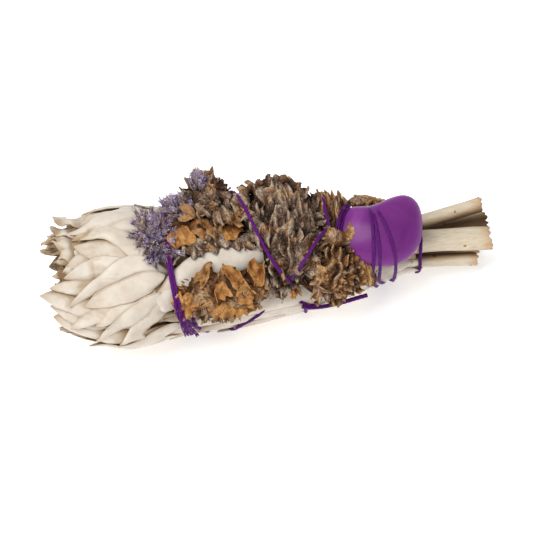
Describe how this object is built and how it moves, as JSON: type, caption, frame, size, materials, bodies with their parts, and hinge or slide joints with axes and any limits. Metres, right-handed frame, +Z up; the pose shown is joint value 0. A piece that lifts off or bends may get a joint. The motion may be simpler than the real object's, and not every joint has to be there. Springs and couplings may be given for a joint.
{
  "type": "sage smudge stick",
  "caption": "Hand-tied bundle of dried sage sprigs with dried flowers, lavender and a tumbled stone, bound with thread, burned as incense.",
  "frame": {"origin": "under the middle of the stick's bounding box, on the surface it lies on", "axes": "+X along the stick from the leaf tips to the cut stems, +Z up, flowers and stone on the upper side towards -Y"},
  "size_m": [0.1208, 0.0472, 0.0399],
  "materials": {
    "sage": "matte",
    "dried_flower": "matte",
    "ochre_petal": "matte",
    "lavender": "matte",
    "stone": "polished",
    "thread": "satin"
  },
  "bodies": {
    "root": {"sage_sprig_1": "sage", "sage_sprig_2": "sage", "sage_sprig_3": "sage", "sage_sprig_4": "sage", "sage_sprig_5": "sage", "flower_head_left": "dried_flower", "flower_head_fringe": "dried_flower", "flower_head_centre": "dried_flower", "flower_head_right": "dried_flower", "flower_head_upper": "dried_flower", "flower_head_by_stone": "dried_flower", "ochre_petals_upper": "ochre_petal", "ochre_petals_lower": "ochre_petal", "lavender_spray_front": "lavender", "lavender_spray_top": "lavender", "tumbled_stone": "stone", "binding_thread": "thread"}
  },
  "joints": []
}
